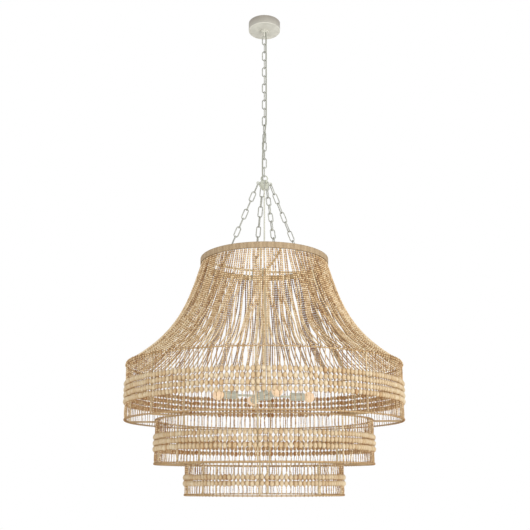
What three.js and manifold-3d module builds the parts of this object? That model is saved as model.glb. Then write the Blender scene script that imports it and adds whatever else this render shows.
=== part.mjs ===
// Beaded chandelier in millimetres, +Z up. The origin is on the ceiling, above the middle of the canopy.
// The camera of a front view stands at -Y. Yaw angles are measured from +X towards +Y.
import * as THREE from 'three';
import { mergeVertices } from 'three/addons/utils/BufferGeometryUtils.js';
import Module from 'manifold-3d';

const wasm = await Module();
wasm.setup();

// Clearances and laps
const gap = 0.3;              // between pieces that touch
const weldSink = 0.8;         // how far a welded wire sinks into what it is welded to
const cutOverrun = 1;         // how far a cutting tool passes a face

// Ceiling bar and its screws
const barLength = 104;
const barWidth = 22;
const barThickness = 2.5;
const barScrewSpacing = 70;
const barSlotLength = 14;
const screwDiameter = 4.2;
const screwHeadDiameter = 8.5;
const screwHeadHeight = 3;
const screwReach = 16;        // how far a screw goes into the ceiling box

// Nipple, lock nut and threaded collar
const nippleDiameter = 10;
const nippleBore = 7;
const nippleTopDrop = 0.4;
const locknutAcrossFlats = 15;
const locknutThickness = 3;
const collarDiameter = 27;
const collarTopDrop = 24;     // top of the collar below the ceiling
const collarBelowCanopy = 9;  // how far the collar shows under the canopy
const collarFloor = 7;        // solid metal under the nipple's socket
const ringNutWidth = 3.6;     // radial width of the ring nut
const ringNutHeight = 6;
const ringNutChamfer = 1;

// Canopy cup
const canopyDiameter = 127;
const canopyDepth = 34.5;
const canopyWall = 1.2;
const canopyCornerRadius = 3;

// Chain
const linkWire = 4.2;
const linkOuterWidth = 20;
const linkPitch = 35.6;
const linkCount = 17;
const eyeWire = 4.5;          // wire of the collar's eye and of the hub's ring
const collarEyeWidth = 23;    // outer width of the collar's eye
const eyeToNut = 14.8;        // free height in the eye, under the collar
const twistFirstLink = 10;    // the chain's quarter twist runs from this link
const twistLastLink = 16;     // to this one

// Supply cord
const cordDiameter = 5.5;
const cordCollarOffset = 9;   // cord from the axis in the collar
const cordChainOffset = 10;   // cord from the axis beside the chain
const cordHubOffset = 8.6;    // cord from the axis beside the hub's ring

// Hub
const hubRingDiameter = 29;
const hubDiameter = 39;
const hubHeight = 38;
const hubWaistDiameter = 30;
const hubEndShare = 0.6;      // flat ends of the hub, as a share of the waist
const hubNeckShare = 0.12;    // shares of the hub's height, from its top
const hubShoulderShare = 0.25;
const hubBellyShare = 0.6;
const hubFootShare = 0.8;
const hubEyeWire = 4;
const hubEyeDiameter = 15;
const hubEyeCentreRadius = 24;
const hubEyeDrop = 13;        // eye centre below the hub's top

// Top hoop and skirt
const hoopDrop = 1001;        // top of the hoop below the ceiling
const hoopHeight = 18;
const hoopThickness = 2;
const hoopDiameter = 464.4;
const bandWidth = 5.2;        // thickness of the bead band round the hoop
const bandLip = 3.2;          // thickness of the band over the hoop's top
const skirtTopInset = 2.5;    // skirt strands stand in from the band's face
const skirtWall = 4;
const skirtStraightShare = 0.45;  // share of the flare that a straight line gives
const skirtFlarePower = 3.5;      // the rest grows with this power of the height share
const skirtHemShare = 0.05;       // height share of the closed edges above and below the skirt's openings
const skirtOpenSteps = 5;         // flat steps along an opening
const ribWire = 4.5;
const ribSink = 0.6;          // weld of a rib into the hoop's inner face
const ribCount = 8;

// Spider
const armRod = 8;
const armEyeShare = 0.57;     // place of the leg chain's eye along the arm's curve
const armEyeWire = 4;
const armEyeDiameter = 13;
const armRise = 28;           // rim end of an arm above the boss
const armBendShare = 0.7;     // where the arm begins to rise, as a share of the hoop's radius
const armRimDrop = 13;        // arm's rim end below the hoop's top
const bossDiameter = 30;
const bossHeight = 11;
const legLinkCount = 9;
const legLinkOuterWidth = 20;

// Tiers of bead strands, outermost first. A tier's diameter is that of its rings, centre to centre.
const strandDiameter = 6;
const largeBead = 15.5;
const rowPitch = 20;
const rodDiameter = 9;
const postDiameter = 6;
const spokeDiameter = 6;
const postCount = 8;
const curtainHem = 6;         // closed edge of a curtain next to its ring
const tier1Diameter = 975.2;
const tier1Drop = 1401.5;     // top ring below the ceiling
const tier1Height = 189.5;
const tier1Rows = 4;
const tier1RowDrop = 68;      // centre of the first bead row below the top ring
const tier2Diameter = 761;
const tier2Height = 146.5;
const tier2Rows = 3;
const tier2RowDrop = 58;
const tier3Diameter = 547.6;
const tier3Height = 102.5;
const tier3Rows = 2;
const tier3RowDrop = 44.5;

// Stem and lamps
const stemDiameter = 12;
const stemBore = 6.5;
const stemCollarDiameter = 20;
const stemCollarHeight = 5;
const stemNutAcrossFlats = 19;
const stemNutHeight = 6;
const lampDrop = 1501.5;      // level of the lamp arms
const clusterDiameter = 53;
const clusterHeight = 28;
const clusterNeckDiameter = 20;
const clusterNeckHeight = 8;
const clusterRound = 6;
const lampArmRod = 7.5;
const lampArmReach = 97;      // end of a lamp arm from the axis
const socketDiameter = 28;
const socketLength = 51;
const socketBore = 14.6;
const socketRound = 3;
const bulbCapDiameter = 14;
const bulbCapLength = 25;
const bulbNeckDiameter = 12.5;
const bulbDiameter = 39;
const bulbReach = 39;         // globe past the socket's mouth

// Counts and angles
const armYaw = -75 * Math.PI / 180;    // the nearest spider arm
const armCount = 4;
const postYaw = -93 * Math.PI / 180;   // the nearest frame post
const bigRoundSides = 32;
const tier2Sides = 24;
const tier3Sides = 24;
const canopySides = 24;
const smallRoundSides = 16;
const boreSides = 12;
const lampSides = 12;
const globeSteps = 5;
const cordSteps = 28;
const wireSides = 6;
const rodSides = 4;
const cordSides = 6;
const turn = 2 * Math.PI;

// Levels and radii worked out from the sizes above
const canopyBottom = -canopyDepth;
const collarBottom = canopyBottom - collarBelowCanopy;
const firstContact = collarBottom - eyeToNut - gap;
const lastContact = firstContact - linkCount * linkPitch;
const hubRingRadius = (hubRingDiameter - eyeWire) / 2;
const hubRingCentre = lastContact + (eyeWire + gap) / 2 - hubRingRadius;
const hubTop = hubRingCentre - hubRingRadius + eyeWire;
const hubBottom = hubTop - hubHeight;
const hoopTop = -hoopDrop;
const hoopBottom = hoopTop - hoopHeight;
const hoopOuter = hoopDiameter / 2;
const hoopInner = hoopOuter - hoopThickness;
const bandInner = hoopOuter + gap;
const bandOuter = bandInner + bandWidth;
const bandTop = hoopTop + gap + bandLip;
const skirtTopRadius = bandOuter - skirtTopInset;
const rodRadius = rodDiameter / 2;
const postRadius = postDiameter / 2;
const beadProud = (largeBead - strandDiameter) / 2;
const tier1Top = -tier1Drop;
const tier2Top = tier1Top - tier1Height;
const tier3Top = tier2Top - tier2Height;
const skirtTop = hoopBottom - gap;
const skirtBottom = tier1Top + rodRadius + gap;
const armRim = hoopTop - armRimDrop;
const bossCentre = armRim - armRise;
const bossBottom = bossCentre - bossHeight / 2;
const bossTop = bossCentre + bossHeight / 2;
const lampLevel = -lampDrop;
const clusterTop = lampLevel + clusterHeight / 2 + clusterNeckHeight;

// Finishes
const finish = (color, roughness, metalness) => (
  new THREE.MeshStandardMaterial({ color, roughness, metalness }));
const offWhitePaint = finish('#d8d6cc', 0.5, 0.1);
const chainPaint = finish('#c9c7bb', 0.45, 0.2);
const zincPlate = finish('#b4b6b5', 0.35, 0.9);
const framePaint = finish('#c2b49a', 0.55, 0.2);
const cordSheath = finish('#a9a99a', 0.6, 0);
const smallBeads = finish('#c9a77c', 0.7, 0);
const bigBeads = finish('#d8c6a0', 0.65, 0);
const warmGlass = finish('#f3dfb4', 0.2, 0);

const part = new THREE.Group();

function toSolid(geometry) {
  const merged = mergeVertices(stripped(geometry), gap / 1000);
  const corners = merged.index.array;
  const kept = [];
  for (let i = 0; i < corners.length; i += 3) {
    const [a, b, c] = [corners[i], corners[i + 1], corners[i + 2]];
    if (a !== b && b !== c && c !== a) kept.push(a, b, c);
  }
  const place = merged.attributes.position.array;
  let volume = 0;
  const at = (n) => new THREE.Vector3().fromArray(place, 3 * n);
  for (let i = 0; i < kept.length; i += 3) {
    volume += at(kept[i]).dot(at(kept[i + 1]).cross(at(kept[i + 2])));
  }
  if (volume < 0) kept.reverse();
  return new wasm.Manifold(new wasm.Mesh({
    numProp: 3, vertProperties: new Float32Array(place), triVerts: new Uint32Array(kept),
  }));
}

function stripped(geometry) {
  const bare = geometry.clone();
  bare.deleteAttribute('normal');
  bare.deleteAttribute('uv');
  return bare;
}

function toGeometry(solid) {
  const mesh = solid.getMesh();
  const geometry = new THREE.BufferGeometry();
  geometry.setAttribute('position', new THREE.BufferAttribute(new Float32Array(mesh.vertProperties), 3));
  geometry.setIndex(new THREE.BufferAttribute(new Uint32Array(mesh.triVerts), 1));
  return geometry;
}

const joined = (geometries) => geometries.map(toSolid).reduce((a, b) => a.add(b));
const welded = (...geometries) => toGeometry(joined(geometries));
const cut = (geometry, ...tools) => toGeometry(toSolid(geometry).subtract(joined(tools)));

function addPiece(name, geometry, material, parent = part) {
  const mesh = new THREE.Mesh(toGeometry(toSolid(geometry)), material);
  mesh.name = name;
  parent.add(mesh);
  return mesh;
}

// A profile of [radius, height] points revolved about Z. Its corners stand at the frame posts' yaw.
function revolved(profile, sides, yaw = postYaw) {
  const points = [...profile, profile[0]].map(([r, z]) => new THREE.Vector2(r, z));
  return new THREE.LatheGeometry(points, sides).rotateX(Math.PI / 2).rotateZ(yaw + Math.PI / 2);
}

// An openwork shell between an outer and an inner profile of [radius, height], both from top to bottom. A
// third number is the radius beside the frame posts. Every second column of the rows that open(row) names is
// left out.
function openwork(outer, inner, sides, open) {
  const places = [...outer, ...inner].flatMap(([r, z, atPost = r]) => (
    Array.from({ length: sides }, (_, column) => {
      const radius = column % (sides / postCount) ? r : atPost;
      return polar(radius, postYaw + turn * column / sides, z).toArray();
    }).flat()));
  const at = (face, row, column) => (face * outer.length + row) * sides + column % sides;
  const closed = (column, row) => row >= 0 && row < outer.length - 1 && !(open(row) && column % 2);
  const cellCorners = [[0, 0], [0, 1], [1, 1], [1, 0]];
  const corners = [];
  const quad = (a, b, c, d) => corners.push(a, b, c, a, c, d);
  for (let row = 0; row < outer.length - 1; row += 1) {
    for (let column = 0; column < sides; column += 1) {
      if (!closed(column, row)) continue;
      const [a, b, c, d, e, f, g, h] = [0, 1].flatMap((face) => (
        cellCorners.map(([down, along]) => at(face, row + down, column + along))));
      quad(a, d, c, b);
      quad(e, f, g, h);
      if (!closed(column + sides - 1, row)) quad(a, e, h, d);
      if (!closed(column + 1, row)) quad(b, c, g, f);
      if (!closed(column, row - 1)) quad(a, b, f, e);
      if (!closed(column, row + 1)) quad(d, h, g, c);
    }
  }
  const geometry = new THREE.BufferGeometry();
  geometry.setAttribute('position', new THREE.Float32BufferAttribute(places, 3));
  geometry.setIndex(corners);
  return geometry;
}

// A solid profile that starts and ends on the axis needs no closing point.
function turned(profile, sides = smallRoundSides) {
  const points = profile.map(([r, z]) => new THREE.Vector2(r, z));
  return new THREE.LatheGeometry(points, sides).rotateX(Math.PI / 2);
}

// A round wire along a path in one plane, whose section keeps one corner on the inside of each bend.
function bentWire(path, wire, sides, normal, closed = true) {
  const places = [];
  const corners = [];
  const last = path.length - 1;
  path.forEach((point, i) => {
    const before = path[closed && i === 0 ? last : Math.max(i - 1, 0)];
    const after = path[closed && i === last ? 0 : Math.min(i + 1, last)];
    const along = after.clone().sub(before).normalize();
    const outward = new THREE.Vector3().crossVectors(along, normal).normalize();
    for (let k = 0; k < sides; k += 1) {
      const angle = turn * k / sides;
      const reach = outward.clone().multiplyScalar(Math.cos(angle) * wire / 2);
      reach.addScaledVector(normal, Math.sin(angle) * wire / 2);
      places.push(...point.clone().add(reach).toArray());
      const next = (i + 1) % path.length;
      const side = (k + 1) % sides;
      if (closed || i < last) {
        corners.push(i * sides + k, next * sides + k, next * sides + side);
        corners.push(i * sides + k, next * sides + side, i * sides + side);
      } else if (k > 1) {
        corners.push(0, k - 1, k, i * sides, i * sides + k, i * sides + k - 1);
      }
    }
  });
  const geometry = new THREE.BufferGeometry();
  geometry.setAttribute('position', new THREE.Float32BufferAttribute(places, 3));
  geometry.setIndex(corners);
  return geometry;
}

// An oval link in the XZ plane, long in Z: two straights and two half rounds.
function oval(innerLength, outerWidth, wire, sides, arcSteps = 4) {
  const bend = (outerWidth - wire) / 2;
  const straight = (innerLength + wire) / 2 - bend;
  const path = [];
  for (const end of [1, -1]) {
    for (let k = 0; k <= arcSteps; k += 1) {
      const angle = Math.PI * (k / arcSteps + (end < 0 ? 1 : 0));
      path.push(new THREE.Vector3(bend * Math.cos(angle), 0, end * straight + bend * Math.sin(angle)));
    }
  }
  return bentWire(path, wire, sides, new THREE.Vector3(0, 1, 0));
}

// A ring in the XZ plane with one corner of its round on +X.
function roundEye(outerDiameter, wire, steps, sides) {
  const radius = (outerDiameter - wire) / 2;
  const path = Array.from({ length: steps }, (_, k) => {
    const angle = turn * k / steps;
    return new THREE.Vector3(radius * Math.cos(angle), 0, radius * Math.sin(angle));
  });
  return bentWire(path, wire, sides, new THREE.Vector3(0, 1, 0));
}

function rod(from, to, diameter, sides = wireSides) {
  const along = to.clone().sub(from);
  const radius = diameter / 2;
  const bar = new THREE.CylinderGeometry(radius, radius, along.length(), sides);
  const turnTo = new THREE.Quaternion().setFromUnitVectors(new THREE.Vector3(0, 1, 0), along.normalize());
  const middle = from.clone().add(to).divideScalar(2);
  return bar.applyQuaternion(turnTo).translate(middle.x, middle.y, middle.z);
}

function sweptRod(curve, diameter, steps, sides = wireSides) {
  const radius = diameter / 2;
  const section = new THREE.Shape(Array.from({ length: sides }, (_, k) => new THREE.Vector2(
    radius * Math.cos(turn * k / sides), radius * Math.sin(turn * k / sides))));
  return new THREE.ExtrudeGeometry(section, { extrudePath: curve, steps, bevelEnabled: false });
}

// How far a many-sided round with a corner at the posts' yaw reaches at another yaw
function facetReach(radius, sides, yaw) {
  const facet = turn / sides;
  const past = THREE.MathUtils.euclideanModulo(yaw - postYaw, facet);
  return radius * Math.cos(facet / 2) / Math.cos(past - facet / 2);
}

const polar = (radius, yaw, z) => new THREE.Vector3(radius * Math.cos(yaw), radius * Math.sin(yaw), z);
const postYawOf = (k) => postYaw + turn * k / postCount;
const armYawOf = (k) => armYaw + turn * k / armCount;
const hexagon = (acrossFlats) => new THREE.Shape(Array.from({ length: 6 }, (_, k) => new THREE.Vector2(
  acrossFlats / Math.sqrt(3) * Math.cos(turn * k / 6), acrossFlats / Math.sqrt(3) * Math.sin(turn * k / 6))));

function plate(shape, thickness, top, holeSides) {
  const settings = { depth: thickness, bevelEnabled: false, curveSegments: holeSides };
  const flat = new THREE.ExtrudeGeometry(shape, settings);
  return flat.translate(0, 0, top - thickness);
}

function roundHole(shape, radius, x = 0, y = 0) {
  const hole = new THREE.Path();
  hole.absarc(x, y, radius, 0, turn, true);
  shape.holes.push(hole);
}

// Ceiling bar: a flat strip with rounded ends, a middle hole and two slots
{
  const half = barLength / 2;
  const corner = barWidth / 2;
  const outline = new THREE.Shape();
  outline.absarc(half - corner, 0, corner, -Math.PI / 2, Math.PI / 2, false);
  outline.absarc(corner - half, 0, corner, Math.PI / 2, 3 * Math.PI / 2, false);
  roundHole(outline, nippleDiameter / 2 + gap);
  for (const side of [-1, 1]) {
    const slot = new THREE.Path();
    const slotRadius = screwDiameter / 2 + gap;
    const slotHalf = barSlotLength / 2 - slotRadius;
    const middle = side * barScrewSpacing / 2;
    slot.absarc(middle + slotHalf, 0, slotRadius, Math.PI / 2, -Math.PI / 2, true);
    slot.absarc(middle - slotHalf, 0, slotRadius, -Math.PI / 2, -3 * Math.PI / 2, true);
    outline.holes.push(slot);
  }
  addPiece('ceiling_bar', plate(outline, barThickness, 0, 5), zincPlate);
}

[-1, 1].forEach((side, n) => {
  const shank = screwDiameter / 2;
  const head = screwHeadDiameter / 2;
  const seat = -barThickness - gap;
  const profile = [[0, screwReach], [shank / 2, screwReach - shank / 2], [shank, screwReach - shank]];
  profile.push([shank, seat], [head, seat], [head, seat - screwHeadHeight / 2], [0, seat - screwHeadHeight]);
  const screw = addPiece(`ceiling_screw_${n + 1}`, turned(profile, 10), zincPlate);
  screw.position.x = side * barScrewSpacing / 2;
});

// Nipple: a tube from the bar into the collar's socket
const socketFloor = collarBottom + collarFloor;
{
  const profile = [[nippleBore / 2, -nippleTopDrop], [nippleDiameter / 2, -nippleTopDrop]];
  profile.push([nippleDiameter / 2, socketFloor + gap], [nippleBore / 2, socketFloor + gap]);
  addPiece('nipple', revolved(profile, boreSides), zincPlate);
  const nut = hexagon(locknutAcrossFlats);
  roundHole(nut, nippleDiameter / 2 + gap);
  addPiece('nipple_locknut', plate(nut, locknutThickness, -barThickness - gap, 6), zincPlate);
}

// Collar loop: a threaded collar bored for the nipple and the cord, with an eye for the chain
const cordRadius = cordDiameter / 2;
const cordYaw = -Math.PI / 4;
{
  const collarRadius = collarDiameter / 2;
  const eyeHeight = eyeToNut + collarEyeWidth / 2 - eyeWire;
  const collar = turned([[0, -collarTopDrop], [collarRadius, -collarTopDrop], [collarRadius, collarBottom],
    [0, collarBottom]]);
  const eye = oval(eyeHeight, collarEyeWidth, eyeWire, wireSides).rotateZ(Math.PI / 2);
  eye.translate(0, 0, firstContact - gap / 2 + eyeHeight / 2);
  const socketRadius = nippleDiameter / 2 + gap;
  const cordAt = polar(cordCollarOffset, cordYaw, 0);
  const socketTop = new THREE.Vector3(0, 0, cutOverrun - collarTopDrop);
  const nippleSocket = rod(new THREE.Vector3(0, 0, socketFloor), socketTop, 2 * socketRadius, boreSides);
  const cordFrom = cordAt.clone().setZ(collarBottom - cutOverrun);
  const cordTo = cordAt.clone().setZ(cutOverrun - collarTopDrop);
  const cordHole = rod(cordFrom, cordTo, cordDiameter + 2 * gap, cordSides);
  addPiece('collar_loop', cut(welded(collar, eye), nippleSocket, cordHole), offWhitePaint);
}

// Canopy: a drawn cup, open at the ceiling, bored for the collar
const boreRadius = (collarDiameter / 2 + gap) / Math.cos(Math.PI / smallRoundSides);
{
  const outer = canopyDiameter / 2;
  const inner = outer - canopyWall;
  const floor = canopyBottom + canopyWall;
  const profile = [[inner, 0], [outer, 0], [outer, canopyBottom + canopyCornerRadius]];
  for (let k = 1; k <= 3; k += 1) {
    const angle = Math.PI / 2 * k / 3;
    const shrink = canopyCornerRadius * (1 - Math.cos(angle));
    profile.push([outer - shrink, canopyBottom + canopyCornerRadius * (1 - Math.sin(angle))]);
  }
  profile.push([boreRadius, canopyBottom], [boreRadius, floor]);
  profile.push([outer - canopyCornerRadius, floor], [inner, canopyBottom + canopyCornerRadius]);
  addPiece('canopy', revolved(profile, canopySides), offWhitePaint);
}

// Ring nut that holds the canopy up, with a chamfer on both outer edges
{
  const outer = boreRadius + ringNutWidth;
  const top = canopyBottom - gap;
  const bottom = top - ringNutHeight;
  const edge = outer - ringNutChamfer;
  const profile = [[boreRadius, top], [edge, top], [outer, top - ringNutChamfer]];
  profile.push([outer, bottom + ringNutChamfer], [edge, bottom], [boreRadius, bottom]);
  addPiece('collar_nut', revolved(profile, smallRoundSides), offWhitePaint);
}

// Main chain. Each link turns a quarter from the one above, and the chain takes one more quarter on its way.
const smooth = (share) => THREE.MathUtils.smoothstep(share, 0, 1);
const twistAt = (link) => smooth((link - twistFirstLink) / (twistLastLink - twistFirstLink)) * Math.PI / 2;
for (let i = 1; i <= linkCount; i += 1) {
  const name = `chain_link_${String(i).padStart(2, '0')}`;
  const link = addPiece(name, oval(linkPitch + gap, linkOuterWidth, linkWire, wireSides), chainPaint);
  link.position.z = firstContact - (i - 0.5) * linkPitch;
  link.rotation.z = (i + 1) * Math.PI / 2 - twistAt(i);
}

// Upper supply cord: from above the collar, down in one quadrant of the chain, to the hub
{
  const start = -collarTopDrop + nippleDiameter / 2;
  const end = hubTop + gap;
  const points = [];
  for (let k = 0; k <= cordSteps; k += 1) {
    const z = THREE.MathUtils.lerp(start, end, k / cordSteps);
    const link = (firstContact - z) / linkPitch + 0.5;
    const leave = smooth((collarBottom - z) / (6 * linkPitch));
    const arrive = smooth((linkPitch - (z - end)) / linkPitch);
    const offset = cordCollarOffset + (cordChainOffset - cordCollarOffset) * leave
      + (cordHubOffset - cordChainOffset) * arrive;
    points.push(polar(offset, cordYaw - twistAt(link), z));
  }
  const route = new THREE.CatmullRomCurve3(points);
  addPiece('supply_cord_upper', sweptRod(route, cordDiameter, cordSteps, cordSides), cordSheath);
}

// Hub: a turned body with a ring on top and an eye for each leg chain
const eyeRadiusOf = (outerDiameter, wire) => (outerDiameter - wire) / 2;
const armReach = facetReach(hoopInner, bigRoundSides, armYaw) - gap;
const armTilt = Math.atan(armRise / (hoopInner * (1 - armBendShare)));
const armCurve = new THREE.QuadraticBezierCurve3(
  new THREE.Vector3(bossDiameter / 2 - weldSink, 0, bossCentre),
  new THREE.Vector3(hoopInner * armBendShare, 0, bossCentre),
  new THREE.Vector3(armReach - armRod / 2 * Math.sin(armTilt), 0, armRim));
const armEyeFoot = armCurve.getPoint(armEyeShare);
const armEyeCentre = new THREE.Vector3(armEyeFoot.x, 0,
  armEyeFoot.z + armRod / 2 + eyeRadiusOf(armEyeDiameter, armEyeWire) - weldSink);
const hubEyeCentre = new THREE.Vector3(hubEyeCentreRadius, 0, hubTop - hubEyeDrop);
const legAlong = armEyeCentre.clone().sub(hubEyeCentre).normalize();
const legTilt = Math.atan2(legAlong.z, legAlong.x);
{
  const body = hubDiameter / 2;
  const waist = hubWaistDiameter / 2;
  const end = waist * hubEndShare;
  const down = (share) => hubTop - hubHeight * share;
  const profile = [[0, hubTop], [end, hubTop], [waist, down(hubNeckShare)], [body, down(hubShoulderShare)]];
  profile.push([body, down(hubBellyShare)], [waist, down(hubFootShare)], [end, hubBottom], [0, hubBottom]);
  const ring = roundEye(hubRingDiameter, eyeWire, 8, wireSides).translate(0, 0, hubRingCentre);
  const pieces = [turned(profile), ring];
  for (let k = 0; k < armCount; k += 1) {
    const eye = roundEye(hubEyeDiameter, hubEyeWire, 6, rodSides).rotateY(-legTilt);
    eye.translate(hubEyeCentre.x, hubEyeCentre.y, hubEyeCentre.z);
    pieces.push(eye.rotateZ(armYawOf(k)));
  }
  const bore = rod(new THREE.Vector3(0, 0, hubBottom - cutOverrun), new THREE.Vector3(0, 0, hubBottom
    + cordDiameter), cordDiameter + 2 * gap, cordSides);
  addPiece('hub', cut(welded(...pieces), bore), chainPaint);
}

// Leg chains: links turned a quarter each, welded to a taut leg
{
  const hubEye = eyeRadiusOf(hubEyeDiameter, hubEyeWire);
  const armEye = eyeRadiusOf(armEyeDiameter, armEyeWire);
  const start = hubEyeCentre.clone().addScaledVector(legAlong, hubEye - hubEyeWire / 2 - gap - weldSink / 2);
  const end = armEyeCentre.clone().addScaledVector(legAlong, -armEye + armEyeWire / 2 + gap + weldSink / 2);
  const pitch = start.distanceTo(end) / legLinkCount;
  const upright = new THREE.Quaternion().setFromUnitVectors(new THREE.Vector3(0, 0, -1), legAlong);
  for (let leg = 0; leg < armCount; leg += 1) {
    const links = [];
    for (let i = 0; i < legLinkCount; i += 1) {
      const link = oval(pitch - weldSink, legLinkOuterWidth, linkWire, rodSides, 2);
      link.rotateZ((i + 1) * Math.PI / 2).applyQuaternion(upright);
      const at = start.clone().addScaledVector(legAlong, (i + 0.5) * pitch);
      links.push(link.translate(at.x, at.y, at.z).rotateZ(armYawOf(leg)));
    }
    addPiece(`leg_chain_${leg + 1}`, welded(...links), chainPaint);
  }
}

// Spider: a bored boss, four arms that rise to the hoop, and an eye on each for its leg chain
const stemHole = stemDiameter + 2 * gap;
{
  const boss = bossDiameter / 2;
  const pieces = [turned([[0, bossTop], [boss, bossTop], [boss, bossBottom], [0, bossBottom]])];
  for (let k = 0; k < armCount; k += 1) {
    pieces.push(sweptRod(armCurve, armRod, 4).rotateZ(armYawOf(k)));
    const eye = roundEye(armEyeDiameter, armEyeWire, 6, rodSides).rotateY(-legTilt);
    pieces.push(eye.translate(armEyeCentre.x, 0, armEyeCentre.z).rotateZ(armYawOf(k)));
  }
  const bore = rod(new THREE.Vector3(0, 0, bossBottom - cutOverrun), new THREE.Vector3(0, 0, bossTop
    + cutOverrun), stemHole, boreSides);
  addPiece('spider', cut(welded(...pieces), bore), framePaint);
}


const tiers = [
  { name: 'tier_1', diameter: tier1Diameter, top: tier1Top, height: tier1Height, rows: tier1Rows,
    rowDrop: tier1RowDrop, sides: bigRoundSides },
  { name: 'tier_2', diameter: tier2Diameter, top: tier2Top, height: tier2Height, rows: tier2Rows,
    rowDrop: tier2RowDrop, sides: tier2Sides },
  { name: 'tier_3', diameter: tier3Diameter, top: tier3Top, height: tier3Height, rows: tier3Rows,
    rowDrop: tier3RowDrop, sides: tier3Sides },
];
for (const tier of tiers) {
  tier.rod = tier.diameter / 2;
  tier.outer = tier.rod + strandDiameter / 2;
  tier.inner = tier.rod - strandDiameter / 2;
  tier.post = tier.rod - rodRadius - postRadius + weldSink;
  tier.bottom = tier.top - tier.height;
}

// Skirt curve: the outer face at a height share, from 0 under the hoop to 1 at the first tier, or a point
// that lies inward of that face
const skirtHeight = skirtTop - skirtBottom;
const skirtSpread = tiers[0].outer - skirtTopRadius;
const skirtShares = [0, ...Array.from({ length: skirtOpenSteps + 1 }, (_, k) => (
  THREE.MathUtils.lerp(skirtHemShare, 1 - skirtHemShare, k / skirtOpenSteps))), 1];
const skirtSlope = (share) => Math.atan(skirtSpread / skirtHeight * (skirtStraightShare
  + (1 - skirtStraightShare) * skirtFlarePower * share ** (skirtFlarePower - 1)));
function skirtPoint(share, inward = 0) {
  const flare = skirtStraightShare * share + (1 - skirtStraightShare) * share ** skirtFlarePower;
  const radius = skirtTopRadius + skirtSpread * flare - inward * Math.cos(skirtSlope(share));
  return [radius, skirtTop - skirtHeight * share - inward * Math.sin(skirtSlope(share))];
}

// Upper frame: the hoop and eight ribs that lie inside the skirt, down to the first tier's top ring
const ribRadius = ribWire / 2;
{
  const hoop = revolved([[hoopInner, hoopTop], [hoopOuter, hoopTop], [hoopOuter, hoopBottom],
    [hoopInner, hoopBottom]], bigRoundSides);
  const path = [[hoopInner - ribRadius + ribSink, hoopTop - hoopHeight / 3]];
  skirtShares.slice(0, -1).forEach((share) => path.push(skirtPoint(share, skirtWall + gap + ribRadius)));
  path.push([tiers[0].post, tier1Top + gap + ribRadius]);
  const places = path.map(([r, z]) => new THREE.Vector3(r, 0, z));
  const ribs = Array.from({ length: ribCount }, (_, k) => (
    bentWire(places, ribWire, rodSides, new THREE.Vector3(0, 1, 0), false).rotateZ(postYawOf(k))));
  addPiece('upper_frame', welded(hoop, ...ribs), framePaint);
}

// Skirt of bead strands: a band over the hoop, then the flare, one strand thick, with long slits
{
  const band = [[bandOuter - bandLip / 3, bandTop], [bandOuter, bandTop - bandLip / 3]];
  band.push([bandOuter, hoopBottom + gap]);
  const lining = [[hoopInner, bandTop], [hoopInner, hoopTop + gap], [bandInner, hoopTop + gap]];
  lining.push([bandInner, skirtTop]);
  const outer = [...band, ...skirtShares.map((share) => skirtPoint(share))];
  const inner = [...lining, ...skirtShares.slice(1, -1).map((share) => skirtPoint(share, skirtWall))];
  inner.push([outer[outer.length - 1][0] - skirtWall / Math.cos(skirtSlope(1)), skirtBottom]);
  const slitRow = (row) => row > band.length && row < outer.length - 2;
  addPiece('skirt_beads', openwork(outer, inner, bigRoundSides, slitRow), smallBeads);
}

// Tier curtains: strands tied from ring to ring, with rows of large beads, and slits above and below them
for (const tier of tiers) {
  const top = tier.top - rodRadius - gap;
  const bottom = tier.bottom + rodRadius + gap;
  const firstRow = tier.top - tier.rowDrop + rowPitch / 2;
  const lastRow = firstRow - tier.rows * rowPitch;
  const outer = [[tier.outer, top], [tier.outer, top - curtainHem]];
  const inner = [[tier.inner, top], [tier.inner, top - curtainHem]];
  for (let row = 0; row < tier.rows; row += 1) {
    const rowTop = firstRow - row * rowPitch;
    outer.push([tier.outer, rowTop], [tier.outer + beadProud, rowTop - rowPitch / 2]);
    inner.push([tier.inner, rowTop], [tier.inner - beadProud, rowTop - rowPitch / 2, tier.inner]);
  }
  outer.push([tier.outer, lastRow], [tier.outer, bottom + curtainHem], [tier.outer, bottom]);
  inner.push([tier.inner, lastRow], [tier.inner, bottom + curtainHem], [tier.inner, bottom]);
  const slitRow = (row) => row === 1 || row === outer.length - 3;
  addPiece(`${tier.name}_beads`, openwork(outer, inner, tier.sides, slitRow), bigBeads);
}

// Tier frames: two rings, eight posts behind the strands, and eight spokes out to the tier above. The first
// tier's rings and posts are one piece. The others' top ring is one piece with its spokes.
tiers.forEach((tier, n) => {
  const ringAt = (z) => {
    const section = Array.from({ length: rodSides }, (_, k) => {
      const angle = turn * k / rodSides;
      return [tier.rod + rodRadius * Math.cos(angle), z + rodRadius * Math.sin(angle)];
    });
    return revolved(section, tier.sides);
  };
  const straight = (from, to, diameter, k) => (
    rod(new THREE.Vector3(...from), new THREE.Vector3(...to), diameter, rodSides).rotateZ(postYawOf(k)));
  const postTop = n === 0 ? tier.top : tier.top - weldSink - 2 * gap;
  const frame = [ringAt(tier.bottom)];
  const spokes = [ringAt(tier.top)];
  for (let k = 0; k < postCount; k += 1) {
    frame.push(straight([tier.post, 0, postTop], [tier.post, 0, tier.bottom], postDiameter, k));
    if (n > 0) {
      const far = tiers[n - 1].post - postRadius - gap;
      spokes.push(straight([tier.rod, 0, tier.top], [far, 0, tier.top], spokeDiameter, k));
    }
  }
  if (n === 0) {
    addPiece(`${tier.name}_frame`, welded(...frame, ...spokes), framePaint);
  } else {
    addPiece(`${tier.name}_frame`, welded(...frame), framePaint);
    addPiece(`${tier.name}_spokes`, welded(...spokes), framePaint);
  }
});

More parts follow.
